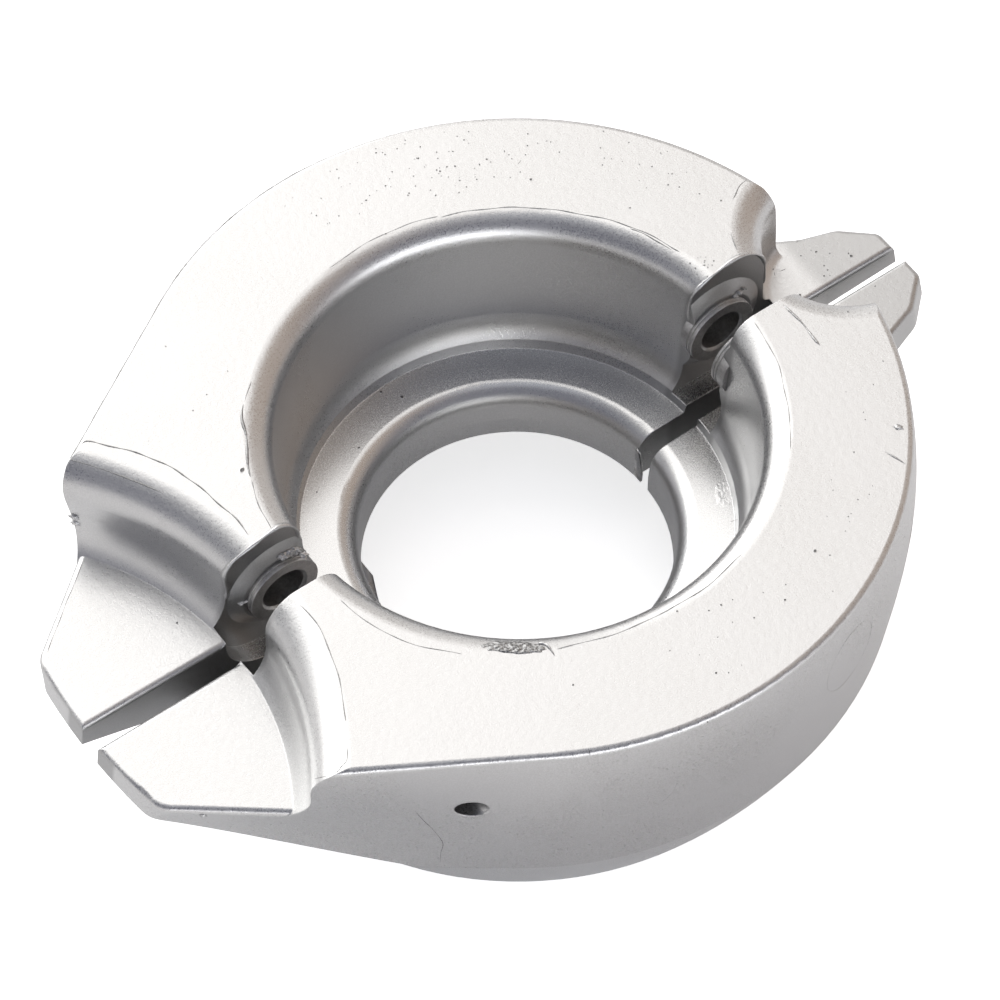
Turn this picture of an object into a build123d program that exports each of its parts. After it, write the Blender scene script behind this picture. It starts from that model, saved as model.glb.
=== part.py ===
"""Split collar anode: two mirrored castings that clamp round a drive leg, with bolt bushes cast in.

Frame: the origin is on the axis of the bores, half way up the throat's land, and +Z points up to the
open mouth. X runs along the split, with the long lobe at -X. The rear half is at +Y, the front half
at -Y. Sizes are in millimetres. A "depth" is measured down from the top face.
"""
from build123d import *
from math import asin, cos, radians, sin, tan
import os

# ---- Ring ----------------------------------------------------------------------------------
height = 48.5            # base to top face
top_r = 60.0             # outer wall at the top face
belly_r = 61.1           # outer wall at its fullest level
belly_depth = 9.0
waist_r = 59.6           # outer wall where it turns into the lower band
waist_depth = 32.0
band_r = 56.2            # lower band, half way down
base_r = 52.2            # lower band, at the base
rim_round = 1.0          # outer edge of the top face

# ---- Bores, from the mouth down --------------------------------------------------------------
mouth_round = 4.3        # convex rounding from the top face into the upper bore
bore_draft = 3.6         # degrees, casting draft of the upper bore's wall
bore_foot_r = 36.4       # upper bore at the foot of its wall
bore_foot_depth = 20.5
crest_r = 34.5           # the hollow at the wall's foot ends in a crisp crest
crest_depth = 25.0
ledge_step = 1.9         # drop from the crest to the ledge
ledge_lean = 0.4         # that step leans in towards its foot
ledge_fall = 0.3         # the ledge slopes down towards the throat
lip_r = 25.3             # where ledge and throat would meet
lip_round = 3.4
throat_r = 24.7          # the land that grips the leg
throat_land = 3.4
throat_depth = 36.7      # level of the throat's lower edge
hub_recess_r = 44.0      # plain recess in the underside

# ---- Long lobe and its wing ------------------------------------------------------------------
lobe_reach = 117.5       # where the tangent side walls would meet, at the top face
lobe_low_reach = 99.5    # the same at the wing's level and below it
wing_reach = 79.2        # tip of the wing
wing_tip_r = 94.0        # the tip edge is a shallow arc
wing_tip_draft = 6.0     # degrees, the tip edge leans out towards its lower edge
wing_corner_r = 3.5
wing_depth = 15.7        # level of both wings' upper faces
wing_thickness = 4.2     # at the tip
keel_slope = 20.5        # degrees, the wing's underside falls towards the ring
neck_inset = 0.4         # ring wall under the wing, inside the waist

# ---- Short lobe ------------------------------------------------------------------------------
tab_length = 15.7        # tip, out from the ring's wall at the top face
tab_tip_half = 5.2       # half width at the tip
tab_shoulder_out = 10.6  # out from the ring's wall
tab_shoulder_half = 9.8
tab_neck_out = 4.6
tab_neck_half = 11.8
tab_root_half = 14.5
tab_draft = 10.0         # degrees, the sides lean out towards the lower edge
tab_thickness = 4.2      # at the tip
tab_slope = 3.0          # degrees, its underside falls towards the ring
tab_neck_round = 7.0     # corners of its outline, from the ring to the tip
tab_shoulder_round = 3.5
tab_tip_round = 1.75
plate_edge_round = 0.9   # upper edges of the wing and of this lobe's plate

# ---- Round scoops that step the top face down to the wings -------------------------------------
wide_scoop_x = 103.5     # axis of the long lobe's scoop
wide_scoop_r = 53.0      # foot of its wall
wide_scoop_round = 6.0   # convex rounding of its upper edge
wide_scoop_foot = (2.8, 6.3)    # hollow at its foot: out from the wall, and up from the wing
narrow_scoop_x = 63.3    # the same for the short lobe
narrow_scoop_r = 12.5
narrow_scoop_round = 4.9
narrow_scoop_foot = (1.8, 1.8)
scoop_draft = 1.5        # degrees

# ---- Split, and the relieved end faces round the bolts -----------------------------------------
gap_wide = 4.14          # between the halves, at the wing's tip
gap_narrow = 2.8         # at the short lobe's tip
relief_depth = 3.45      # relieved face, behind the split face
relief_floor_depth = 25.4
relief_reach_wide = 53.3
relief_reach_narrow = 53.2
relief_corner_r = 8.5

# ---- Bolts, bosses and bushes ------------------------------------------------------------------
bolt_x = 41.7
bolt_depth = 12.5
boss_base_r = 9.0
boss_top_r = 6.7
boss_rise = 1.2          # cone, from the relieved face
bush_setback = 1.0       # bush face, behind the split face
collar_r = 6.1
collar_length = 2.9
shank_r = 4.8
shank_bore_r = 3.75
thread_r = 2.5           # tapping size for M6
threaded_length = 22.0
pilot_r = 2.1            # drilled on from the thread to the outer wall
head_bore_r = 6.6        # room for the bolt's head
head_seat = 34.0         # its seat, from the middle of the split
groove_starts = (0.45, 1.05)  # fine grooves round the collar, from the bush's face
groove_width = 0.3
groove_depth = 0.2
mouth_chamfer = 0.4

tab_reach = top_r + tab_length
margin = 5.0             # how far cutting tools run past what they cut
far = 2 * lobe_reach     # beyond anything in the part
on_foot = (Align.CENTER, Align.CENTER, Align.MIN)  # turned solids stand on their foot


def level(depth):
    """Height of a level given as a depth below the top face."""
    return throat_depth - throat_land / 2 - depth


def half_gap(x):
    """Half of the gap between the halves: it narrows evenly from the wing's tip to the short lobe's."""
    share = (x + wing_reach) / (tab_reach + wing_reach)
    return (gap_wide + (gap_narrow - gap_wide) * share) / 2


# ---- Outer form --------------------------------------------------------------------------------


def upright(edge):
    """Whether an edge rises more than it runs."""
    span = edge.bounding_box().size
    return span.Z > max(span.X, span.Y)


def ring_outline(depth, radius, reach):
    """Outline at one level: the ring's circle, and the tangent lines that meet at the lobe's reach."""
    lean = asin(radius / reach)
    touch = (-radius * sin(lean), radius * cos(lean))
    other_touch = (touch[0], -touch[1])
    ring = ThreePointArc(touch, (radius, 0), other_touch)
    face = make_face([ring, Line(other_touch, (-reach, 0)), Line((-reach, 0), touch)])
    return Pos(0, 0, level(depth)) * face


def lobed_wall():
    """Ring wall and long lobe from the top face to the waist: the lobe's sides twist inwards downwards."""
    belly_reach = lobe_reach + (lobe_low_reach - lobe_reach) * belly_depth / wing_depth
    outlines = [
        ring_outline(0, top_r, lobe_reach),
        ring_outline(belly_depth, belly_r, belly_reach),
        ring_outline(wing_depth, belly_r, lobe_low_reach),
        ring_outline(waist_depth, waist_r, lobe_low_reach),
    ]
    return loft(list(reversed(outlines)))


def ring_core():
    """Neck under the lobe and the tapering band from the waist to the base."""
    neck_r = waist_r - neck_inset
    base = (base_r, level(height))
    bulge = (band_r, level((waist_depth + height) / 2))
    waist = (waist_r, level(waist_depth))
    inner_corners = [
        waist,
        (neck_r, waist[1]),
        (neck_r, level(wing_depth)),
        (0, level(wing_depth)),
        (0, base[1]),
        base,
    ]
    outline = make_face([ThreePointArc(base, bulge, waist), Polyline(*inner_corners)])
    return revolve(Plane.XZ * outline, Axis.Z)


def wing_tip_limit():
    """Everything inside the wing's shallow tip arc: a cone, because the tip edge has draft."""
    flare = tan(radians(wing_tip_draft))
    above = wing_depth + margin
    below = height - wing_depth + margin
    cone = Cone(wing_tip_r + flare * below, wing_tip_r - flare * above, above + below, align=on_foot)
    return Pos(wing_tip_r - wing_reach, 0, level(height) - margin) * cone


def below_slope(tip_x, tip_z, slope):
    """Everything below a slope that falls from a lobe's tip towards the ring, in side view."""
    fall = tan(radians(slope))
    inwards = -1 if tip_x > 0 else 1
    outside = (tip_x - inwards * far, tip_z + far * fall)
    inside = (tip_x + inwards * far, tip_z - far * fall)
    low_z = inside[1] - far
    corners = [outside, inside, (inside[0], low_z), (outside[0], low_z)]
    return extrude(Plane.XZ * make_face(Polyline(*corners, close=True)), far, both=True)


def short_lobe():
    """Plate with leaning sides, a little thicker towards the ring."""
    half_outline = [
        (0, tab_root_half, 0),
        (top_r, tab_root_half, 0),
        (top_r + tab_neck_out, tab_neck_half, tab_neck_round),
        (top_r + tab_shoulder_out, tab_shoulder_half, tab_shoulder_round),
        (tab_reach, tab_tip_half, tab_tip_round),
    ]
    mirrored_half = [(x, -y, corner) for x, y, corner in reversed(half_outline)]
    face = Pos(0, 0, level(wing_depth)) * rounded_face(half_outline + mirrored_half)
    plate = extrude(face, -tab_thickness - margin, taper=-tab_draft)
    return plate - below_slope(tab_reach, level(wing_depth + tab_thickness), tab_slope)


def outer_form():
    """Ring with both lobes, solid inside, with the outer edge of the top face broken."""
    wall = lobed_wall() & wing_tip_limit()
    wall -= below_slope(-wing_reach, level(wing_depth + wing_thickness), keel_slope)
    tip_corners = wall.edges().filter_by(lambda edge: upright(edge) and edge.center().X < -waist_r)
    wall = fillet(tip_corners, wing_corner_r)
    rim = wall.faces().sort_by(Axis.Z)[-1].edges()
    wall = fillet(rim, rim_round)
    return wall + ring_core() + short_lobe()


# ---- Turned tools --------------------------------------------------------------------------------


def rounded_face(corners):
    """Closed face through corners given as (x, y, corner radius)."""
    points = [(x, y) for x, y, _ in corners]
    return make_face(FilletPolyline(*points, radius=[corner[2] for corner in corners], close=True))


def opening_side(foot_r, foot_depth, draft, rounding):
    """Edges of an opening's side, from the foot of its drafted wall out over its convex rounding.

    Returns the edges and the last point, which is on the top face.
    """
    angle = radians(draft)
    run_up = foot_depth - rounding
    centre_r = foot_r + (rounding + run_up * sin(angle)) / cos(angle)
    centre = (centre_r, level(rounding))
    start = (centre_r - rounding * cos(angle), level(rounding) + rounding * sin(angle))
    wall = Line((foot_r, level(foot_depth)), start)
    curve = CenterArc(centre, rounding, 180 - draft, draft - 90)
    return [wall, curve], (centre_r, level(0))


def turned(edges, first, last):
    """Solid turned about +Z from edges that run from first to last, closed along the axis."""
    (first_r, first_z), (last_r, last_z) = first, last
    top_z = last_z + margin
    closing = [
        Line(last, (last_r, top_z)),
        Line((last_r, top_z), (0, top_z)),
        Line((0, top_z), (0, first_z)),
        Line((0, first_z), first),
    ]
    return revolve(Plane.XZ * make_face(edges + closing), Axis.Z)


def scoop(radius, rounding, hollow):
    """Round cutter that steps the top face down to a wing, with a hollow at the foot of its wall."""
    out, up = hollow
    foot_depth = wing_depth - up
    side, last = opening_side(radius, foot_depth, scoop_draft, rounding)
    foot = (radius, level(foot_depth))
    crease = (radius - out, level(wing_depth))
    blend = TangentArc(foot, crease, tangent=(-sin(radians(scoop_draft)), -cos(radians(scoop_draft))))
    return turned([blend] + side, crease, last)


def scoops():
    """Both scoops, each about its own axis on the split."""
    wide = Pos(-wide_scoop_x, 0, 0) * scoop(wide_scoop_r, wide_scoop_round, wide_scoop_foot)
    narrow = Pos(narrow_scoop_x, 0, 0) * scoop(narrow_scoop_r, narrow_scoop_round, narrow_scoop_foot)
    return wide + narrow


def bore_cutter():
    """Upper bore, ledge, throat and underside recess as one turned tool."""
    angle = radians(bore_draft)
    side, last = opening_side(bore_foot_r, bore_foot_depth, bore_draft, mouth_round)
    foot = (bore_foot_r, level(bore_foot_depth))
    crest = (crest_r, level(crest_depth))
    hollow = TangentArc(foot, crest, tangent=(-sin(angle), -cos(angle)))
    ledge_depth = crest_depth + ledge_step
    first = (hub_recess_r, level(height) - margin)
    lower = FilletPolyline(
        first,
        (hub_recess_r, level(throat_depth)),
        (throat_r, level(throat_depth)),
        (throat_r, level(throat_depth - throat_land)),
        (lip_r, level(ledge_depth + ledge_fall)),
        (crest_r - ledge_lean, level(ledge_depth)),
        crest,
        radius=[0, 0, 0, lip_round, 0],
    )
    return turned([lower, hollow] + side, first, last)


# ---- One half --------------------------------------------------------------------------------------


def rear_side():
    """Everything behind the rear split face."""
    corners = [(-far, half_gap(-far)), (far, half_gap(far)), (far, far), (-far, far)]
    outline = make_face(Polyline(*corners, close=True))
    return Pos(0, 0, level(height) - margin) * extrude(outline, height + 2 * margin)


def relief_face(side):
    """Y of the relieved face at the long lobe's end (side -1) or the short lobe's (side 1)."""
    return half_gap(side * bolt_x) + relief_depth


def relief(side, reach):
    """Space in front of one relieved face, open to the bore and to the top."""
    corners = [
        (0, level(relief_floor_depth), 0),
        (side * reach, level(relief_floor_depth), relief_corner_r),
        (side * reach, level(-margin), 0),
        (0, level(-margin), 0),
    ]
    return extrude(Plane.XZ * rounded_face(corners), -relief_face(side))


def on_bolt(side, y, solid):
    """Stand a solid made along +Z on one bolt's axis, with its foot at y and its length along +Y."""
    return Plane((side * bolt_x, y, level(bolt_depth)), x_dir=(1, 0, 0), z_dir=(0, 1, 0)) * solid


def rod(radius, length):
    """Plain round solid with its foot at the origin."""
    return Cylinder(radius, length, align=on_foot)


def boss(side):
    """Low cone that carries the bush's collar, trimmed flush with the bore and the scoop."""
    cone = Cone(boss_top_r, boss_base_r, boss_rise, align=on_foot)
    return on_bolt(side, relief_face(side) - boss_rise, cone)


def with_soft_plates(form):
    """Rounds the upper edges of the wing and of the short lobe's plate, clear of the scoops' feet."""
    plates = form.faces().filter_by_position(Axis.Z, level(wing_depth), level(wing_depth))
    clear = [e for e in plates.edges() if not -waist_r < e.center().X < top_r + tab_neck_out / 2]
    return fillet(clear, plate_edge_round)


def half_form():
    """One half, at the rear, before its bolt holes and bushes are let in."""
    tools = bore_cutter() + scoops()
    form = (outer_form() - tools) & rear_side()
    for side, reach in ((-1, relief_reach_wide), (1, relief_reach_narrow)):
        form -= relief(side, reach)
        form += boss(side) - tools
    return with_soft_plates(form)


# ---- Bushes and their seats --------------------------------------------------------------------------


def bush_face(side):
    """Y of the bush's flat face."""
    return half_gap(side * bolt_x) + bush_setback


def bush_outline(length):
    """Collar and shank of a bush, without its bore, along +Z."""
    return rod(collar_r, collar_length) + rod(shank_r, length)


def bush(length, bore_r):
    """Cast-in bush: a grooved collar, a plain shank and a bore with a broken edge."""
    solid = bush_outline(length) - Pos(0, 0, -margin) * rod(bore_r, length + 2 * margin)
    solid -= Cone(bore_r + mouth_chamfer, bore_r, mouth_chamfer, align=on_foot)
    groove = rod(collar_r + margin, groove_width) - rod(collar_r - groove_depth, groove_width)
    for start in groove_starts:
        solid -= Pos(0, 0, start) * groove
    return solid


def plain_length(side):
    """A plain bush runs from its face to the seat of the bolt's head."""
    return head_seat - bush_face(side)


def rear_seats(side):
    """What a plain bush and its bolt's head take out of the rear casting."""
    return [
        on_bolt(side, bush_face(side), bush_outline(plain_length(side))),
        on_bolt(side, head_seat, rod(head_bore_r, far)),
    ]


def front_seats(side):
    """What a threaded bush and its pilot hole take out of the front casting, drawn at the rear."""
    return [
        on_bolt(side, bush_face(side), bush_outline(threaded_length)),
        on_bolt(side, bush_face(side), rod(pilot_r, far)),
    ]


def build():
    """All sub-parts by node name, each in its place."""
    form = half_form()
    rear = form
    front = form
    parts = {}
    for side, end in ((-1, "wide_end"), (1, "narrow_end")):
        rear -= rear_seats(side)
        front -= front_seats(side)
        plain = on_bolt(side, bush_face(side), bush(plain_length(side), shank_bore_r))
        threaded = on_bolt(side, bush_face(side), bush(threaded_length, thread_r))
        parts["plain_bush_" + end] = plain
        parts["threaded_bush_" + end] = mirror(threaded, about=Plane.XZ)
    parts["rear_half"] = rear
    parts["front_half"] = mirror(front, about=Plane.XZ)
    return parts


os.makedirs("parts", exist_ok=True)
for node, solid in build().items():
    export_step(solid, "parts/" + node + ".step")
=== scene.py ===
"""Looks of the split collar anode: cast-metal finishes, casting flash and marks, studio and camera.

Lengths written in millimetres carry MM, apart from those in the marks' tables. Everything stands in the
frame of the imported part: the origin on the axis of the bores, +Z up to the open mouth, X along the split with
the long lobe at -X.
"""

from math import cos, dist, pi, radians, sin
from random import Random

import bmesh
import bpy
from mathutils import Matrix, Vector, noise
from mathutils.bvhtree import BVHTree


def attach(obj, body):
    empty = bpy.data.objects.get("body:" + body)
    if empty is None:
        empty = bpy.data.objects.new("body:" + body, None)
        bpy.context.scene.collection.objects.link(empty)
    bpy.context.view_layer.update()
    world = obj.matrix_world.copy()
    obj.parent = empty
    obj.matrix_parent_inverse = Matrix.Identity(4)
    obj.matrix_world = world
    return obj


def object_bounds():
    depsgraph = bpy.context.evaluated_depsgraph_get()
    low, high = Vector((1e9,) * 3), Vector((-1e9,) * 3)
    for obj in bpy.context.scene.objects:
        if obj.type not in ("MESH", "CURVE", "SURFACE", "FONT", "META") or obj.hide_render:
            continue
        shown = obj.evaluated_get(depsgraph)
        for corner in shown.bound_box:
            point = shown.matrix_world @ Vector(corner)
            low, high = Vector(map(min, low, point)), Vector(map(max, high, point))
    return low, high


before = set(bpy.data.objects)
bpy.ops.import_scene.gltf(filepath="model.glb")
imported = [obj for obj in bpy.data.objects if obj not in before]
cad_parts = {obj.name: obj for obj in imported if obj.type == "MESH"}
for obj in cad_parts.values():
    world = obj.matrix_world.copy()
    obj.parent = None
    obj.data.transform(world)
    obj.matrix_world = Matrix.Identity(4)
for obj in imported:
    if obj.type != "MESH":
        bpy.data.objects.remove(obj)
cad_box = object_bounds()

MM = 0.001

# ---- View ------------------------------------------------------------------------------------------
CAMERA_AZIMUTH = -36.44
CAMERA_ELEVATION = 55.01
CAMERA_ROLL = 0.21
CAMERA_DISTANCE = 750 * MM
CAMERA_AIM = Vector((-7.96, -6.16, 28.22)) * MM
SENSOR_WIDTH = 36.0
LENS = 177.71
CAMERA_CLIP = (0.01, 20.0)               # metres
PICTURE_SIDE = 1000                      # pixels of the view, each way

# ---- Studio ----------------------------------------------------------------------------------------
WHITE_PANEL = (2.00, 1.96, 1.92, 1.0)    # large soft panel behind the part, on the left
BRIGHT_PANEL = (4.20, 4.20, 4.15, 1.0)   # its low left part
RIGHT_WALL = (0.62, 0.52, 0.45, 1.0)
LEFT_WALL = (0.50, 0.50, 0.51, 1.0)
FAR_WALL = (0.86, 0.83, 0.81, 1.0)
NEAR_WALL = (0.25, 0.255, 0.30, 1.0)     # dark room behind the camera
LOW_WALL = (0.96, 0.94, 0.94, 1.0)       # its lower part, lit by the floor
CEILING = (0.54, 0.56, 0.62, 1.0)
FRONT_STRIP = (3.40, 3.42, 3.50, 1.0)    # low window behind the camera
STRIP_RIGHT = 152.0                      # degrees to the right of the direction away from the camera
FLOOR_WHITE = 0.88
FLOOR_LIFT = 0.72                        # shown to the camera, so that the ground reads as white
FLOOR_LIFT_MIRRORED = 0.10
FLOOR_REACH = 6.0                        # metres each way

# Edges of the walls and panels. A pair holds the cosines of the angle from a direction at which a panel
# starts to show and is full. PANEL_LEFT and BRIGHT_LEFT are measured from the white panel's slanting right
# edge.
WALLS_MEET_RIGHT = (-0.5, 0.5)
NEAR_WALL_AWAY = (0.30, -0.45)
FAR_WALL_AWAY = (0.50, 0.90)
LOW_WALL_UP = (0.42, 0.10)
LOW_WALL_AWAY = (0.1, -0.4)
CEILING_UP = (0.93, 0.99)
STRIP_ALONG = (0.78, 0.86)
STRIP_FOOT = (0.07, 0.14)
STRIP_HEAD = (0.45, 0.36)
PANEL_BEARING = 10                       # degrees to the right of the direction away from the camera
PANEL_FOOT_TILT = -15
PANEL_LEFT = (-0.12, 0.22)
PANEL_ALONG = (-0.03, 0.20)
PANEL_FOOT = (-0.04, 0.06)
PANEL_FADE = (-0.02, 0.40, 0.72, 1.0)    # and from what share to what share
PANEL_EDGE_SLOPE = 1.3                   # the white panel's right edge leans right as it rises
PANEL_EDGE_START = -0.85
PANEL_EDGE_LEAST = -0.02
BRIGHT_LEFT = (0.12, 0.45)
BRIGHT_HEAD = (0.85, 0.60)
BRIGHT_FOOT = (0.0, 0.35)
BRIGHT_ALONG = (0.12, 0.42)

# ---- Finishes ----------------------------------------------------------------------------------------
GRAIN_PER_METRE = 4000
PEEL_PER_METRE = 950
CLOUD_PER_METRE = 45
STEEL_GRAIN_PER_METRE = 2600
DULL_GRAIN_PER_METRE = 3000
GRAIN_HEIGHT = 0.019 * MM
PEEL_HEIGHT = 0.035 * MM
STEEL_GRAIN_HEIGHT = 0.03 * MM
DULL_GRAIN_HEIGHT = 0.05 * MM
CAST_BEVEL = 0.3 * MM
STEEL_BEVEL = 0.2 * MM
CAST_DARK = (0.53, 0.004)                # level of a grey, and its warmth
CAST_LIGHT = (0.58, 0.0)
STEEL_DARK = (0.48, 0.01)
STEEL_LIGHT = (0.60, 0.01)
FLASH_GREYS = (0.24, 0.40)               # levels, from dark to light
# painted shade for cracks, nicks, a crease and the floors of pits
CREVICE_SHADE_GREYS = (0.10, 0.16)
TORN_GREYS = (0.20, 0.50)
SPARK_GREY = 0.64
# painted shade grey on the short lobe's outer part
TAB_SHADE_GREY = 0.36
# painted shade on the end faces beside the split, in the gap between the halves
SPLIT_SHADE_GREY = 0.22
CAST_ROUGHNESS = 0.33
SPLIT_ROUGHER = 0.07
LEDGE_ROUGHER = -0.09
TAB_SHADE = 0.6                           # share of the painted shade grey beyond TAB_X
PEEL_ON_LEVEL = 0.45                     # strength of the peel that a level face adds
PEEL_LEAST = 0.20
SPLIT_SMOOTH = 0.9                       # share of the ledge's smoothness on the faces at the split
GRAIN_LOST = 0.6                         # share of the grain that smoothness takes away
# A finish that follows a noise: the noise from and to, and what it adds to the roughness at either end.
CLOUD_ROUGHNESS = (0.3, 0.7, -0.01, 0.03)
SPARKLE_ROUGHNESS = (0.28, 0.74, -0.08, 0.09)
STEEL_ROUGHNESS = (0.35, 0.65, 0.30, 0.48)
DULL_ROUGHNESS = (0.35, 0.65, 0.30, 0.55)
UPRIGHT = (0.75, 0.45)                   # share that a face points up, from none to full
LEVEL = (0.80, 0.97)

# ---- The part's places that the finishes and marks follow ---------------------------------------------
TOP_Z = 35.0 * MM
# A pair holds the places between which a finish goes from none to full.
LEDGE_Z = (12 * MM, 10 * MM)     # the ledge and the throat lie below
PEEL_Z = (12 * MM, 16 * MM)      # orange peel shows above
SPLIT_FACE_Y = (6.6 * MM, 5.5 * MM)  # end faces beside the split, by distance from it
SPLIT_FACE_X = (30 * MM, 32 * MM)    # and by distance from the axis
TAB_X = (60 * MM, 63 * MM)       # the short lobe's outer part is darker beyond, with painted shade


# ---- Casting flash and marks --------------------------------------------------------------------------
# Places are pixels of the 1000-pixel view, read from enlarged parts of it. A line's entry gives its
# width and height in millimetres and the pixels that it runs through.
FLASH_LINES = {
    "flash_wide_scoop": (0.32, 0.14, [
        (82, 444), (92, 442), (140, 454), (170, 467), (192, 481), (217, 502), (237, 520), (249, 535),
    ]),
    "flash_mouth_far": (0.28, 0.11, [
        (440, 217), (469, 211), (497, 208), (526, 207.5), (555, 210), (589, 215.6), (620, 223),
        (652, 236), (680, 252),
    ]),
    "flash_mouth_far_second": (0.30, 0.12, [(630, 229), (645, 234), (660, 243), (671, 250)]),
    "flash_mouth_left_high": (0.26, 0.10, [(251, 381), (247, 392), (244.5, 402)]),
    "flash_mouth_far_left": (0.24, 0.08, [(330, 268), (352, 252), (380, 236), (412, 223), (438, 216)]),
    "flash_mouth_left": (0.60, 0.34, [(244, 404), (242.5, 420), (245, 434), (247, 450), (250.5, 477)]),
    "flash_mouth_left_low": (0.26, 0.10, [(251, 480), (256, 497), (262, 512), (271, 528)]),
    "flash_mouth_front_right": (0.24, 0.06, [
        (754, 322), (771, 349), (780, 370), (785.5, 396), (790, 422), (790, 450),
    ]),
    "flash_mouth_front_low": (0.26, 0.09, [
        (742, 554), (706, 587), (675, 606), (631, 628), (594, 640), (556, 649),
    ]),
    "flash_mouth_front_left": (0.22, 0.07, [
        (340, 600), (358, 615), (388, 634), (420, 646), (462, 654),
    ]),
    "flash_front_scoop": (0.26, 0.10, [
        (300, 604), (311, 616), (322, 633), (335, 665), (342, 694), (346, 722),
    ]),
    "edge_wide_wing": (0.20, 0.07, [(83, 562), (71, 591), (59, 621), (47, 653)]),
    "flash_narrow_scoop": (0.34, 0.16, [(747, 180), (740, 186), (736, 193.5), (733, 199)]),
    "flash_narrow_scoop_low": (0.30, 0.12, [(731, 232), (733, 240), (736.5, 250)]),
}
WELTS = {
    "raised_streak": (0.70, 0.08, [(784, 304), (798, 320), (811, 334), (821, 345)]),
    "welt_torn_patch": (0.70, 0.40, [(537, 643.5), (544, 645), (549, 649), (555, 656)]),
    "welt_ledge_crest": (0.22, 0.09, [(356, 415), (378, 392), (402, 374), (430, 360)]),
    "welt_notch": (0.50, 0.08, [(885, 451), (895, 458), (906, 465)]),
    "pilot_hole_burr": (0.28, 0.12, [
        (458, 814), (464, 817.5), (473, 818), (481, 815), (488, 810), (490.5, 806),
    ]),
}
# Dark lines of painted shade where cracks, nicks and the crease at the front scoop's foot hold shade.
HAIRLINES = {
    "crack_outer_wall": (0.16, 0.03, [
        (415, 811), (424, 821), (434, 831), (443, 843), (441, 853), (440, 863),
    ]),
    "line_front_scoop_foot": (0.20, 0.04, [
        (347, 748), (347, 760), (343, 765), (335, 773), (317, 778), (303, 780),
    ]),
    "nick_tab": (0.45, 0.05, [(779, 271), (786, 268.5)]),
    "nick_tab_low": (0.35, 0.05, [(773.5, 272), (774.5, 276)]),
    "nick_rear_top": (0.30, 0.05, [(521, 160), (517.5, 165)]),
    "nick_wing": (0.40, 0.05, [(174, 622), (179, 624)]),
    "nick_ledge": (0.22, 0.04, [(729, 522), (738, 519)]),
    "nick_top_edge": (0.40, 0.06, [(589, 748), (590.5, 755)]),
}
LINE_STEP = 1.5                  # pixels between the points of a line
LINE_BREAK = 1.2 * MM            # a line stops where the surface jumps by more than this
SINK = 0.06 * MM                 # depth of a line's feet below the surface
LINE_PHASE = 6
LINE_PACE = (0.25, 0.4)          # radians of swell from point to point
LINE_TAPER = 4                   # points over which an end rises
LINE_SWELL = 0.25
LINE_RISE = (0.75, 1.1)          # shares that a point's height is drawn from
LINE_HALF = (0.85, 1.1)          # and its half width
LINE_SWAY = 0.25                 # sideways wander, in widths
SWAY_PACE = 0.6                  # as a share of the swell's
RIDGE_PROFILE = ((-1.0, -1.0), (-0.5, 0.72), (0.05, 1.0), (0.55, 0.68), (1.0, -1.0))  # across, and up

EJECTOR_MARKS = {"ejector_mark_low": (639, 793), "ejector_mark_right": (851, 657)}
EJECTOR_RADIUS = 6.0 * MM
EJECTOR_LINE = (0.14, 0.05)      # width and height in millimetres
EJECTOR_STEPS = 72
EJECTOR_CLEARANCE = 3 * MM       # height above the wall from which the ring is laid on it

PITS = [  # middle, and size in millimetres
    ((530.7, 179.5), 0.42), ((486.5, 159.4), 0.36), ((479.3, 164.5), 0.36), ((490.5, 162.2), 0.24),
    ((504.3, 151.3), 0.28), ((508.9, 154.8), 0.22), ((511.8, 158.8), 0.22), ((525.5, 154.8), 0.26),
    ((454.9, 166.3), 0.32), ((446.9, 166.8), 0.30), ((468.7, 131.8), 0.28), ((457.2, 136.4), 0.28),
    ((464, 140), 0.26), ((527.8, 134), 0.26), ((537.6, 143.3), 0.26), ((550.8, 142), 0.26),
    ((559.4, 152.5), 0.22), ((494, 177), 0.26), ((459, 192.7), 0.26), ((466.4, 187), 0.22),
    ((476.7, 179.5), 0.24), ((602.4, 165), 0.26), ((668, 185), 0.30), ((630, 208), 0.28),
    ((816, 252), 0.45), ((851, 256), 0.50), ((824, 276), 0.35), ((797, 241), 0.35), ((800, 295), 0.40),
    ((848, 312), 0.35), ((815, 551), 0.50), ((785, 600), 0.35), ((721, 605), 0.32), ((716, 673), 0.35),
    ((573, 685), 0.30), ((242, 470), 0.90), ((381, 392), 0.40), ((359, 448), 0.35), ((317, 492), 0.32),
    ((402, 397), 0.50), ((177, 623), 0.40),
]
PIT_FIELDS = [  # middle, spread each way, count
    ((425, 165), (45, 22), 46), ((330, 200), (40, 25), 26), ((650, 165), (55, 22), 30),
    ((705, 262), (5, 6), 14), ((850, 480), (30, 70), 22), ((720, 620), (60, 40), 14),
    ((830, 270), (30, 14), 10), ((170, 380), (50, 50), 10),
]
PIT_FIELD_SIZE = (0.12, 0.32)    # millimetres
PIT_SEED = 7
PIT_RINGS = ((1.5, -0.02), (1.0, 0.05), (0.55, 0.012))  # reach in radii, and lift in millimetres
PIT_SIDES = 10
PIT_STRETCH = (0.6, 1.0)         # short axis as a share of the long one
PIT_RAGGED = (0.85, 1.15)        # shares that a corner's reach is drawn from

# Middle, half sizes in pixels, turn in degrees, and rise and grain in millimetres.
TORN_PATCH = ((514, 647.5), (34, 6.3), 2.0, 0.32, 0.55)
GRANULAR_PATCH = ((725, 494), (12, 15), -12.0, 0.10, 0.22)
SCAB_RINGS = 26
SCAB_SIDES = 110
SCAB_RAGGED = 0.22               # share by which the outline swells and shrinks
SCAB_SINK = 0.03                 # depth of the edge below the surface, in millimetres
SCAB_EVEN = 0.45                 # shares of the rise that are even and rough
SCAB_ROUGH = 0.55
SCAB_FINE = 0.5                  # the second, finer noise, as a share of the first
SCAB_FINE_GRAIN = 0.4            # and its grain likewise
SCAB_LOBES = 3                   # how quickly the outline wanders
SCAB_FALL = 4                    # power with which the rise falls off towards the edge

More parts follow.
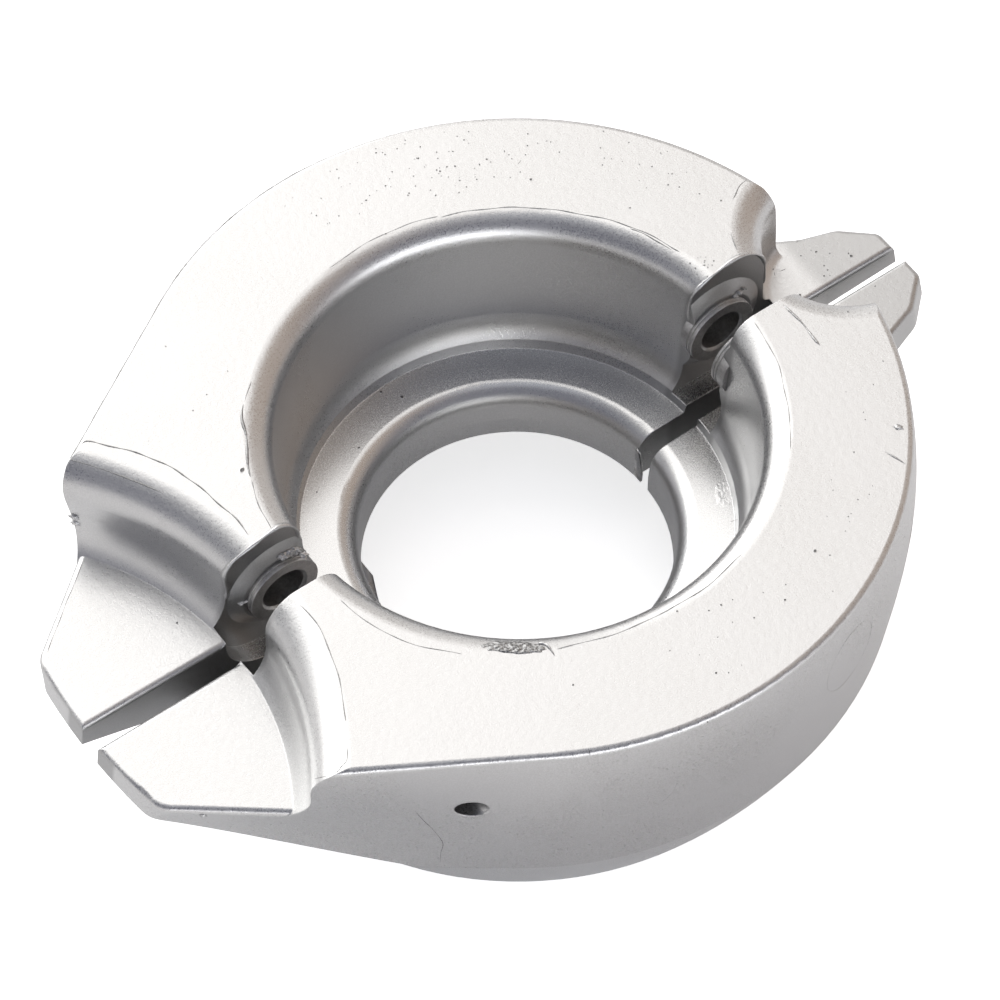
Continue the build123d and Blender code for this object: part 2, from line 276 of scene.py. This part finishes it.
BURRS = {  # place, and length and height in millimetres
    "burr_wide_bush": [
        ((282.6, 556), 1.7, 1.0), ((289.5, 552), 1.4, 0.9), ((295.5, 550), 1.8, 0.8), ((302, 554), 1.5, 1.0),
    ],
    "burr_relief_floor": [((241.5, 603.5), 0.9, 0.35), ((246.5, 601), 0.8, 0.3)],
    "burr_narrow_bush": [((738, 292), 0.9, 0.7), ((735, 296), 1.0, 0.45), ((742, 288), 0.6, 0.8)],
    "burr_wing_side": [((74, 517), 1.6, 0.35), ((75.5, 523), 1.3, 0.25)],
    "burr_notch": [((898, 427), 1.3, 0.16)],
    "burr_slot": [((203, 815), 0.9, 0.4)],
}
BURR_SWELL = 0.75                # share by which a lump departs from a ball
BURR_GRAIN = 2.2                 # how quickly the noise varies over a burr
BURR_SUBDIVISIONS = 4

# Fins at the throat, as outlines in the part's own millimetres: Y and Z of the upright one, X and Y of the
# level one.
THROAT_EDGE_FIN = [(1.9, 5.6), (0.9, 5.0), (0.45, 2.6), (0.15, 0.4), (0.3, -1.7), (1.9, -1.7)]
THROAT_EDGE_FIN_X = 24.62
THROAT_EDGE_FIN_THICKNESS = 0.4
THROAT_FOOT_FIN = [
    (-20.3, 15.0), (-20.4, 10.6), (-22.0, 7.2), (-23.6, 3.4), (-24.6, 2.4), (-25.2, 2.4), (-24.0, 8.0),
]
THROAT_FOOT_FIN_Z = -1.7
THROAT_FOOT_FIN_THICKNESS = 0.35

RELIEF_Y = {-1: 5.36, 1: 5.0}    # the relieved end faces' distance from the split, in millimetres, by end
BEAD_CENTRE = (43.6, 26.0)       # X without its sign, and Z, in millimetres
BEAD_FROM = -12.0                # degrees round from the level direction towards the axis
BEAD_TO = 190.0
BEAD_STEPS = 90
BEAD_SIZE = (0.95, 0.22)         # width and height in millimetres
BEAD_SINK = 0.52 * MM            # the bead straddles an edge, so its feet reach back to both faces
BEAD_PROBE_INSET = 0.3           # millimetres past the relieved face at which its edge is looked for
BEAD_PROBE_REACH = 24 * MM
TOP_TOLERANCE = 0.1 * MM

RIM_FROM = 22.5                  # degrees round from the long lobe
RIM_TO = 96.0
RIM_STEPS = 220
RIM_LEVEL = 34.5 * MM
RIM_SIZE = (0.34, 0.12)          # width and height in millimetres
RIM_PROBE_START = 0.2            # metres from the axis, well outside the part
SLOTS = {"rear_half": "rear_casting", "front_half": "front_casting"}


# ---- Node graphs --------------------------------------------------------------------------------------


class Graph:
    """Short way to write a material's node tree: every call adds a node and returns its output."""

    def __init__(self, name=None, tree=None):
        if tree is None:
            self.material = bpy.data.materials.new(name)
            self.material.use_nodes = True
            tree = self.material.node_tree
            tree.nodes.clear()
        self.tree = tree

    def node(self, kind, inputs=None, output=0, **settings):
        made = self.tree.nodes.new(kind)
        for key, value in settings.items():
            setattr(made, key, value)
        for key, value in (inputs or {}).items():
            self.put(made.inputs[key], value)
        return made.outputs[output]

    def put(self, socket, value):
        if isinstance(value, bpy.types.NodeSocket):
            self.tree.links.new(value, socket)
        else:
            socket.default_value = value

    def math(self, operation, *values):
        return self.node("ShaderNodeMath", dict(enumerate(values)), operation=operation)

    def all_of(self, *shares):
        share = shares[0]
        for other in shares[1:]:
            share = self.math("MULTIPLY", share, other)
        return share

    def place(self):
        """Position in the part's frame, in metres."""
        return self.node("ShaderNodeTexCoord", output="Object")

    def part_of(self, vector, index):
        return self.node("ShaderNodeSeparateXYZ", {"Vector": vector}, output=index)

    def up_facing(self):
        """1 on a level surface that faces up, 0 on an upright one."""
        return self.part_of(self.node("ShaderNodeNewGeometry", output="Normal"), 2)

    def noise(self, per_metre, detail=2.0, roughness=0.5, where=None):
        where = where or self.place()
        inputs = {"Vector": where, "Scale": per_metre, "Detail": detail, "Roughness": roughness}
        return self.node("ShaderNodeTexNoise", inputs, output="Fac")

    def spread(self, value, low, high, to_low=0.0, to_high=1.0):
        """Maps low..high of a value smoothly to to_low..to_high."""
        inputs = {"Value": value, 1: low, 2: high, 3: to_low, 4: to_high}
        return self.node("ShaderNodeMapRange", inputs, interpolation_type="SMOOTHSTEP")

    def mix(self, share, first, second):
        inputs = {"Factor": share, 6: first, 7: second}
        return self.node("ShaderNodeMix", inputs, output=2, data_type="RGBA")

    def bump(self, height, distance, strength=1.0, normal=None):
        inputs = {"Height": height, "Distance": distance, "Strength": strength}
        if normal is not None:
            inputs["Normal"] = normal
        return self.node("ShaderNodeBump", inputs)

    def finish(self, **inputs):
        named = {key.replace("_", " "): value for key, value in inputs.items()}
        shader = self.node("ShaderNodeBsdfPrincipled", named)
        out = self.tree.nodes.new("ShaderNodeOutputMaterial")
        self.tree.links.new(shader, out.inputs["Surface"])
        return self.material


def grey(level, warmth=0.0):
    """Linear grey, or one a little warmer."""
    return (level * (1 + warmth), level, level * (1 - warmth), 1.0)


# ---- Finishes -----------------------------------------------------------------------------------------


def cast_metal(name, split_shade=0.45):
    """As-cast anode alloy: satin sheen, sparkling grain, faint orange peel, and rougher faces at the split that
    carry painted shade.
    """
    g = Graph(name)
    grain = g.noise(GRAIN_PER_METRE, 2.0)
    peel = g.noise(PEEL_PER_METRE, 2.0)
    cloud = g.noise(CLOUD_PER_METRE, 3.0)
    beside, across, height = (g.part_of(g.place(), index) for index in range(3))
    at_split = g.all_of(
        g.spread(g.math("ABSOLUTE", across), *SPLIT_FACE_Y),
        g.spread(g.math("ABSOLUTE", beside), *SPLIT_FACE_X),
        g.spread(g.up_facing(), *UPRIGHT),
    )
    level = g.spread(g.up_facing(), *LEVEL)
    peeled = g.math("MULTIPLY_ADD", level, PEEL_ON_LEVEL, PEEL_LEAST)
    on_ledge = g.all_of(level, g.spread(height, *LEDGE_Z))
    smooth = g.math("MAXIMUM", g.math("MULTIPLY", at_split, SPLIT_SMOOTH), on_ledge)
    grainy = g.math("SUBTRACT", 1.0, g.math("MULTIPLY", smooth, GRAIN_LOST))
    colour = g.mix(g.spread(cloud, 0.35, 0.65), grey(*CAST_DARK), grey(*CAST_LIGHT))
    colour = g.mix(g.spread(grain, 0.35, 0.7), colour, grey(SPARK_GREY))
    # painted shade: the short lobe's outer part is darker towards its end
    colour = g.mix(g.spread(beside, *TAB_X, 0.0, TAB_SHADE), colour, grey(TAB_SHADE_GREY))
    # painted shade: the end faces beside the split are darkened towards the gap between the halves
    if split_shade:
        colour = g.mix(g.math("MULTIPLY", at_split, split_shade), colour, grey(SPLIT_SHADE_GREY))
    satin = g.math("MULTIPLY_ADD", at_split, SPLIT_ROUGHER, CAST_ROUGHNESS)
    satin = g.math("ADD", g.math("MULTIPLY", on_ledge, LEDGE_ROUGHER), satin)
    rough = g.math("ADD", g.spread(cloud, *CLOUD_ROUGHNESS), satin)
    sparkle = g.math("MULTIPLY", g.spread(grain, *SPARKLE_ROUGHNESS), grainy)
    rough = g.math("ADD", rough, sparkle)
    normal = g.node("ShaderNodeBevel", {"Radius": CAST_BEVEL}, samples=6)
    normal = g.bump(peel, PEEL_HEIGHT, g.all_of(peeled, g.spread(height, *PEEL_Z)), normal)
    normal = g.bump(grain, GRAIN_HEIGHT, grainy, normal)
    return g.finish(Base_Color=colour, Metallic=1.0, Roughness=rough, Normal=normal)


def turned_steel(name):
    """Dull turned steel of the bushes, finely mottled."""
    g = Graph(name)
    fine = g.noise(STEEL_GRAIN_PER_METRE, 2.0)
    colour = g.mix(g.spread(fine, 0.3, 0.7), grey(*STEEL_DARK), grey(*STEEL_LIGHT))
    normal = g.node("ShaderNodeBevel", {"Radius": STEEL_BEVEL}, samples=4)
    normal = g.bump(fine, STEEL_GRAIN_HEIGHT, 0.7, normal)
    rough = g.spread(fine, *STEEL_ROUGHNESS)
    return g.finish(Base_Color=colour, Metallic=1.0, Roughness=rough, Normal=normal)


def dull_metal(name, low, high):
    """Rough metal on thin flash and where the skin is torn, and, in its darkest greys, painted shade in cracks,
    nicks, a crease and the floors of pits.
    """
    g = Graph(name)
    fine = g.noise(DULL_GRAIN_PER_METRE, 2.0)
    colour = g.mix(g.spread(fine, 0.35, 0.65), grey(low), grey(high))
    normal = g.bump(fine, DULL_GRAIN_HEIGHT, 0.8)
    rough = g.spread(fine, *DULL_ROUGHNESS)
    return g.finish(Base_Color=colour, Metallic=1.0, Roughness=rough, Normal=normal)


def dress_nodes():
    casting = cast_metal("casting")
    steel = turned_steel("bush_steel")
    for name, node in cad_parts.items():
        finish = casting if name.endswith("_half") else steel
        for slot in node.material_slots:
            slot.material = finish


# ---- The camera's axes ------------------------------------------------------------------------------------


def view_axes():
    """The camera's right, up and backward directions."""
    a, e = radians(CAMERA_AZIMUTH), radians(CAMERA_ELEVATION)
    back = Vector((sin(a) * cos(e), -cos(a) * cos(e), sin(e)))
    right = Vector((0, 0, 1)).cross(back).normalized()
    up = back.cross(right)
    roll = radians(CAMERA_ROLL)
    return right * cos(roll) + up * sin(roll), up * cos(roll) - right * sin(roll), back


# ---- Flash, burrs, pits and marks -----------------------------------------------------------------------


class Surface:
    """The castings and bushes, found by rays, so that a mark named by a pixel sits on the metal."""

    def __init__(self):
        corners, faces, self.owners = [], [], []
        for name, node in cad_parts.items():
            start = len(corners)
            corners += [tuple(vertex.co) for vertex in node.data.vertices]
            for face in node.data.polygons:
                faces.append([start + i for i in face.vertices])
                self.owners.append(name)
        self.tree = BVHTree.FromPolygons(corners, faces)

    def along(self, start, direction):
        """Point, outward normal and node first met from a start point, or None."""
        point, normal, index, _ = self.tree.ray_cast(start, direction)
        if point is None:
            return None
        if normal.dot(direction) > 0:
            normal = -normal
        return point, normal, self.owners[index]

    def seen_at(self, pixel):
        """What the camera sees at a pixel."""
        right, up, back = view_axes()
        middle = PICTURE_SIDE / 2
        x, y = ((value - middle) / PICTURE_SIDE * SENSOR_WIDTH / LENS for value in pixel)
        return self.along(CAMERA_AIM + back * CAMERA_DISTANCE, (right * x - up * y - back).normalized())


def smooth_line(points, spacing):
    """Closely spaced points on a smooth curve through a few."""
    ends = [points[0], *points, points[-1]]
    line = []
    for before, first, second, after in zip(ends, ends[1:], ends[2:], ends[3:]):
        steps = max(1, round(dist(first, second) / spacing))
        for step in range(steps):
            t = step / steps
            line.append(tuple(
                b + 0.5 * t * (c - a + t * (2 * a - 5 * b + 4 * c - d + t * (3 * b - a - 3 * c + d)))
                for a, b, c, d in zip(before, first, second, after)
            ))
    return line + [points[-1]]


def add_piece(name, corners, faces, materials, dark_faces=()):
    """A mark's mesh as a piece that rides with the part, in the finishes given."""
    mesh = bpy.data.meshes.new(name)
    mesh.from_pydata(corners, [], faces)
    for material in materials:
        mesh.materials.append(material)
    for index in dark_faces:
        mesh.polygons[index].material_index = 1
    mesh.shade_smooth()
    thing = bpy.data.objects.new(name, mesh)
    bpy.context.scene.collection.objects.link(thing)
    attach(thing, "root")


def strip(spots, width, height, seed, sink=SINK):
    """Corners and faces of an uneven ridge over (point, normal) spots, tapered at both ends."""
    draw = Random(seed)
    phase = draw.uniform(0, LINE_PHASE)
    pace = draw.uniform(*LINE_PACE)
    last = len(spots) - 1
    corners, faces = [], []
    for i, (point, normal) in enumerate(spots):
        ahead = spots[min(i + 1, last)][0] - spots[max(i - 1, 0)][0]
        side = normal.cross(ahead).normalized()
        taper = min(1, (i + 0.5) / LINE_TAPER, (last - i + 0.5) / LINE_TAPER)
        swell = taper * (1 - LINE_SWELL + LINE_SWELL * sin(pace * i + phase))
        rise = height * swell * draw.uniform(*LINE_RISE)
        half = width / 2 * swell * draw.uniform(*LINE_HALF)
        sway = width * LINE_SWAY * sin(SWAY_PACE * pace * i + phase)
        for across, up in RIDGE_PROFILE:
            lift = rise * up if up > 0 else sink * up
            corners.append(point + side * (sway + half * across) + normal * lift)
    count = len(RIDGE_PROFILE)
    for i in range(last):
        for k in range(count):
            n = (k + 1) % count
            faces.append((i * count + k, (i + 1) * count + k, (i + 1) * count + n, i * count + n))
    faces.append(tuple(range(count)))
    faces.append(tuple(last * count + k for k in reversed(range(count))))
    return corners, faces


def flash_line(name, pixels, width, height, material, surface):
    """Ridge through some pixels, over the longest stretch that lies on one unbroken surface."""
    spots = [surface.seen_at(pixel) for pixel in smooth_line(pixels, LINE_STEP)]
    spots = [spot for spot in spots if spot]
    runs, run = [], [spots[0]]
    for spot in spots[1:]:
        if (spot[0] - run[-1][0]).length > LINE_BREAK:
            runs.append(run)
            run = []
        run.append(spot)
    runs.append(run)
    run = max(runs, key=len)
    corners, faces = strip([spot[:2] for spot in run], width * MM, height * MM, name)
    add_piece(name, corners, faces, [material])


def flat_axes(normal):
    """Two axes that lie in the surface."""
    side = normal.cross(Vector((0.3, 0.2, 0.9))).normalized()
    return side, normal.cross(side)


def ejector_ring(name, pixel, radius, material, surface):
    """Faint raised ring that an ejector pin left on the wall."""
    centre, normal, owner = surface.seen_at(pixel)
    side, along = flat_axes(normal)
    spots = []
    for step in range(EJECTOR_STEPS + 1):
        turn = 2 * pi * step / EJECTOR_STEPS
        start = centre + (side * cos(turn) + along * sin(turn)) * radius + normal * EJECTOR_CLEARANCE
        spots.append(surface.along(start, -normal)[:2])
    corners, faces = strip(spots, EJECTOR_LINE[0] * MM, EJECTOR_LINE[1] * MM, name)
    add_piece(name, corners, faces, [material])


def add_pit(pit, spot, size, draw):
    """Small crater: a raised lip round a floor darkened with painted shade."""
    point, normal, _ = spot
    side, along = flat_axes(normal)
    turn = draw.uniform(0, pi)
    long_axis = side * cos(turn) + along * sin(turn)
    short_axis = along * cos(turn) - side * sin(turn)
    stretch = draw.uniform(*PIT_STRETCH)
    start = len(pit["corners"])
    for reach, lift in PIT_RINGS:
        for k in range(PIT_SIDES):
            a = 2 * pi * k / PIT_SIDES
            r = size / 2 * reach * draw.uniform(*PIT_RAGGED)
            flat = point + long_axis * r * cos(a) + short_axis * r * sin(a) * stretch
            pit["corners"].append(flat + normal * lift * MM)
    for ring in range(len(PIT_RINGS) - 1):
        for k in range(PIT_SIDES):
            n = (k + 1) % PIT_SIDES
            low = start + ring * PIT_SIDES
            high = low + PIT_SIDES
            if ring > 0:
                pit["dark"].append(len(pit["faces"]))
            pit["faces"].append((low + k, low + n, high + n, high + k))
    pit["dark"].append(len(pit["faces"]))
    pit["faces"].append(tuple(high + k for k in range(PIT_SIDES)))


def pits(metal, dark, surface):
    """The pits with places of their own and the fields of small ones, as one piece on each casting."""
    draw = Random(PIT_SEED)
    places = list(PITS)
    for (x, y), (spread_x, spread_y), count in PIT_FIELDS:
        for _ in range(count):
            pixel = (x + draw.gauss(0, spread_x), y + draw.gauss(0, spread_y))
            places.append((pixel, draw.uniform(*PIT_FIELD_SIZE)))
    by_node = {}
    for pixel, size in places:
        spot = surface.seen_at(pixel)
        if spot is None or spot[2] not in SLOTS:
            continue
        pit = by_node.setdefault(spot[2], {"corners": [], "faces": [], "dark": []})
        add_pit(pit, spot, size * MM, draw)
    for owner, pit in by_node.items():
        add_piece("pits_" + owner, pit["corners"], pit["faces"], [metal, dark], pit["dark"])


def scab(name, pixel, half_size, turn, rise, grain, material, surface):
    """Patch of rough or torn skin whose edge sinks into the surface."""
    a = radians(turn)
    corners, faces, last = [], [], surface.seen_at(pixel)
    for ring in range(SCAB_RINGS + 1):
        share = (ring + 0.5) / (SCAB_RINGS + 0.5)
        for k in range(SCAB_SIDES):
            angle = 2 * pi * k / SCAB_SIDES
            where = Vector((SCAB_LOBES * cos(angle), SCAB_LOBES * sin(angle), half_size[0]))
            ragged = 1 + SCAB_RAGGED * noise.noise(where)
            u = half_size[0] * share * ragged * cos(angle)
            v = half_size[1] * share * ragged * sin(angle)
            spot = surface.seen_at((pixel[0] + u * cos(a) - v * sin(a), pixel[1] + u * sin(a) + v * cos(a)))
            point, normal, owner = last = spot or last
            fine = SCAB_FINE * noise.noise(point / (SCAB_FINE_GRAIN * grain * MM))
            rough = noise.noise(point / (grain * MM)) + fine
            edge = share ** SCAB_FALL
            lift = rise * (1 - edge) * (SCAB_EVEN + SCAB_ROUGH * rough) - SCAB_SINK * edge
            corners.append(point + normal * lift * MM)
    for ring in range(SCAB_RINGS):
        for k in range(SCAB_SIDES):
            n = (k + 1) % SCAB_SIDES
            low, high = ring * SCAB_SIDES, (ring + 1) * SCAB_SIDES
            faces.append((low + k, low + n, high + n, high + k))
    faces.append(tuple(reversed(range(SCAB_SIDES))))
    add_piece(name, corners, faces, [material])


def burr(name, lumps, material, surface):
    """Lumps of torn metal in a row; each is given by its pixel, its length and its height."""
    corners, faces, owner = [], [], None
    for pixel, length, height in lumps:
        point, normal, owner = surface.seen_at(pixel)
        side, along = flat_axes(normal)
        ball = bmesh.new()
        bmesh.ops.create_icosphere(ball, subdivisions=BURR_SUBDIVISIONS, radius=1.0)
        start = len(corners)
        for vertex in ball.verts:
            swell = 1 + BURR_SWELL * noise.noise(vertex.co * BURR_GRAIN + Vector(pixel + (0,)))
            x, y, z = vertex.co * swell
            flat = point + side * x * length / 2 * MM + along * y * length / 3 * MM
            corners.append(flat + normal * z * height * MM)
        faces += [[start + vertex.index for vertex in face.verts] for face in ball.faces]
        ball.free()
    add_piece(name, corners, faces, [material])


def rim_line(material, surface):
    """Trimmed edge round the rear half's top face, from the long lobe's scoop to the far side."""
    spots = []
    for step in range(RIM_STEPS + 1):
        turn = radians(RIM_FROM + (RIM_TO - RIM_FROM) * step / RIM_STEPS)
        outwards = Vector((-cos(turn), sin(turn), 0))
        hit = surface.along(outwards * RIM_PROBE_START + Vector((0, 0, RIM_LEVEL)), -outwards)
        if hit:
            spots.append(hit[:2])
    corners, faces = strip(spots, RIM_SIZE[0] * MM, RIM_SIZE[1] * MM, "rim_line")
    add_piece("rim_line", corners, faces, [material])


def split_bead(name, side, material, surface):
    """Rolled bright edge where the relieved face beside a bolt breaks out into the mouth and the scoop."""
    face_y = RELIEF_Y[side] * MM
    centre = Vector((side * BEAD_CENTRE[0], 0, BEAD_CENTRE[1])) * MM
    centre.y = face_y + BEAD_PROBE_INSET * MM
    spots = []
    for step in range(BEAD_STEPS + 1):
        turn = radians(BEAD_FROM + (BEAD_TO - BEAD_FROM) * step / BEAD_STEPS)
        outwards = Vector((-side * cos(turn), 0, sin(turn)))
        hit = surface.along(centre + outwards * BEAD_PROBE_REACH, -outwards)
        if hit and hit[2] == "rear_half" and hit[0].z < TOP_Z + TOP_TOLERANCE:
            edge = Vector((hit[0].x, face_y, hit[0].z))
            spots.append((edge, (hit[1] - Vector((0, 1, 0))).normalized()))
    corners, faces = strip(spots, BEAD_SIZE[0] * MM, BEAD_SIZE[1] * MM, name, BEAD_SINK)
    add_piece(name, corners, faces, [material])


def fin(name, outline, thickness, axis, level, material):
    """Thin plate of flash in one of the part's planes; the outline is in millimetres."""
    count = len(outline)
    corners = []
    for offset in (0, thickness):
        for first, second in outline:
            if axis == "x":
                corners.append(Vector((level + offset, first, second)) * MM)
            else:
                corners.append(Vector((first, second, level + offset)) * MM)
    faces = [tuple(range(count)), tuple(count + k for k in reversed(range(count)))]
    for k in range(count):
        n = (k + 1) % count
        faces.append((k, n, count + n, count + k))
    add_piece(name, corners, faces, [material])


def marks():
    """Every mark on the castings and bushes."""
    surface = Surface()
    metal = cast_metal("burr_metal", 0.0)
    flash = dull_metal("flash_skin", *FLASH_GREYS)
    # painted shade in cracks, nicks, the scoop-foot crease and pit floors
    dark = dull_metal("crevice_shade", *CREVICE_SHADE_GREYS)
    torn = dull_metal("torn_metal", *TORN_GREYS)
    for name, (width, height, pixels) in FLASH_LINES.items():
        flash_line(name, pixels, width, height, flash, surface)
    for name, (width, height, pixels) in WELTS.items():
        flash_line(name, pixels, width, height, metal, surface)
    for name, (width, height, pixels) in HAIRLINES.items():
        flash_line(name, pixels, width, height, dark, surface)
    for name, pixel in EJECTOR_MARKS.items():
        ejector_ring(name, pixel, EJECTOR_RADIUS, metal, surface)
    pits(metal, dark, surface)
    scab("torn_patch", *TORN_PATCH, torn, surface)
    scab("granular_patch", *GRANULAR_PATCH, metal, surface)
    for name, lumps in BURRS.items():
        burr(name, lumps, metal, surface)
    rim_line(flash, surface)
    split_bead("bead_wide_end", -1, metal, surface)
    split_bead("bead_narrow_end", 1, metal, surface)
    fin("fin_throat_edge", THROAT_EDGE_FIN, THROAT_EDGE_FIN_THICKNESS, "x", THROAT_EDGE_FIN_X, metal)
    fin("fin_throat_foot", THROAT_FOOT_FIN, THROAT_FOOT_FIN_THICKNESS, "z", THROAT_FOOT_FIN_Z, metal)


# ---- Studio --------------------------------------------------------------------------------------------


def bearing(right_of_away, elevation=0.0):
    """Direction given as degrees to the right of the one that points away from the camera, and degrees up."""
    a, e = radians(CAMERA_AZIMUTH + 180 - right_of_away), radians(elevation)
    return (sin(a) * cos(e), -cos(a) * cos(e), sin(e))


def studio():
    """World all round the part: a large white panel, a low strip, and grey walls that differ in tone."""
    world = bpy.data.worlds.new("studio")
    bpy.context.scene.world = world
    world.use_nodes = True
    tree = world.node_tree
    g = Graph(tree=tree)
    direction = g.node("ShaderNodeTexCoord", output="Generated")

    def along(vector):
        inputs = {0: direction, 1: vector}
        return g.node("ShaderNodeVectorMath", inputs, output="Value", operation="DOT_PRODUCT")

    away, right, up = along(bearing(0)), along(bearing(90)), along((0.0, 0.0, 1.0))
    colour = g.mix(g.spread(right, *WALLS_MEET_RIGHT), LEFT_WALL, RIGHT_WALL)
    colour = g.mix(g.spread(away, *NEAR_WALL_AWAY), colour, NEAR_WALL)
    colour = g.mix(g.spread(away, *FAR_WALL_AWAY), colour, FAR_WALL)
    low = g.all_of(g.spread(up, *LOW_WALL_UP), g.spread(away, *LOW_WALL_AWAY))
    colour = g.mix(low, colour, LOW_WALL)
    colour = g.mix(g.spread(up, *CEILING_UP), colour, CEILING)
    low_window = g.all_of(
        g.spread(along(bearing(STRIP_RIGHT)), *STRIP_ALONG),
        g.spread(up, *STRIP_FOOT),
        g.spread(up, *STRIP_HEAD),
    )
    colour = g.mix(low_window, colour, FRONT_STRIP)
    rising = g.math("MULTIPLY_ADD", up, PANEL_EDGE_SLOPE, PANEL_EDGE_START)
    rising = g.math("MAXIMUM", rising, PANEL_EDGE_LEAST)
    leftwards = g.math("SUBTRACT", rising, right)
    panel = g.all_of(
        g.spread(leftwards, *PANEL_LEFT),
        g.spread(along(bearing(PANEL_BEARING)), *PANEL_ALONG),
        g.spread(along(bearing(0, PANEL_FOOT_TILT)), *PANEL_FOOT),
        g.spread(up, *PANEL_FADE),
    )
    bright = g.all_of(
        g.spread(leftwards, *BRIGHT_LEFT),
        g.spread(up, *BRIGHT_HEAD),
        g.spread(up, *BRIGHT_FOOT),
        g.spread(along(bearing(PANEL_BEARING)), *BRIGHT_ALONG),
    )
    colour = g.mix(panel, colour, g.mix(bright, WHITE_PANEL, BRIGHT_PANEL))
    g.put(tree.nodes["Background"].inputs["Color"], colour)


def floor():
    """Plain white floor."""
    mesh = bpy.data.meshes.new("floor")
    level = cad_box[0].z
    signs = ((-1, -1), (1, -1), (1, 1), (-1, 1))
    corners = [(across * FLOOR_REACH, along * FLOOR_REACH, level) for across, along in signs]
    mesh.from_pydata(corners, [], [(0, 1, 2, 3)])
    thing = bpy.data.objects.new("floor", mesh)
    bpy.context.scene.collection.objects.link(thing)
    g = Graph("white_floor")
    diffuse = g.node("ShaderNodeBsdfDiffuse", {"Color": grey(FLOOR_WHITE)})
    paths = g.tree.nodes.new("ShaderNodeLightPath").outputs
    mirrored = g.math("MAXIMUM", paths["Is Glossy Ray"], paths["Is Transmission Ray"])
    mirrored = g.math("MULTIPLY", mirrored, FLOOR_LIFT_MIRRORED)
    seen = g.math("MULTIPLY", paths["Is Camera Ray"], FLOOR_LIFT)
    lift = g.node("ShaderNodeEmission", {"Strength": g.math("ADD", seen, mirrored)})
    out = g.tree.nodes.new("ShaderNodeOutputMaterial")
    g.put(out.inputs["Surface"], g.node("ShaderNodeAddShader", {0: diffuse, 1: lift}))
    mesh.materials.append(g.material)


def camera():
    data = bpy.data.cameras.new("camera")
    data.sensor_width = SENSOR_WIDTH
    data.lens = LENS
    data.clip_start, data.clip_end = CAMERA_CLIP
    thing = bpy.data.objects.new("camera", data)
    bpy.context.scene.collection.objects.link(thing)
    axes = view_axes()
    turn = Matrix(axes).transposed().to_4x4()
    thing.matrix_world = Matrix.Translation(CAMERA_AIM + axes[2] * CAMERA_DISTANCE) @ turn
    bpy.context.scene.camera = thing


dress_nodes()
marks()
floor()
studio()
camera()

bpy.context.scene.view_settings.view_transform = "Standard"
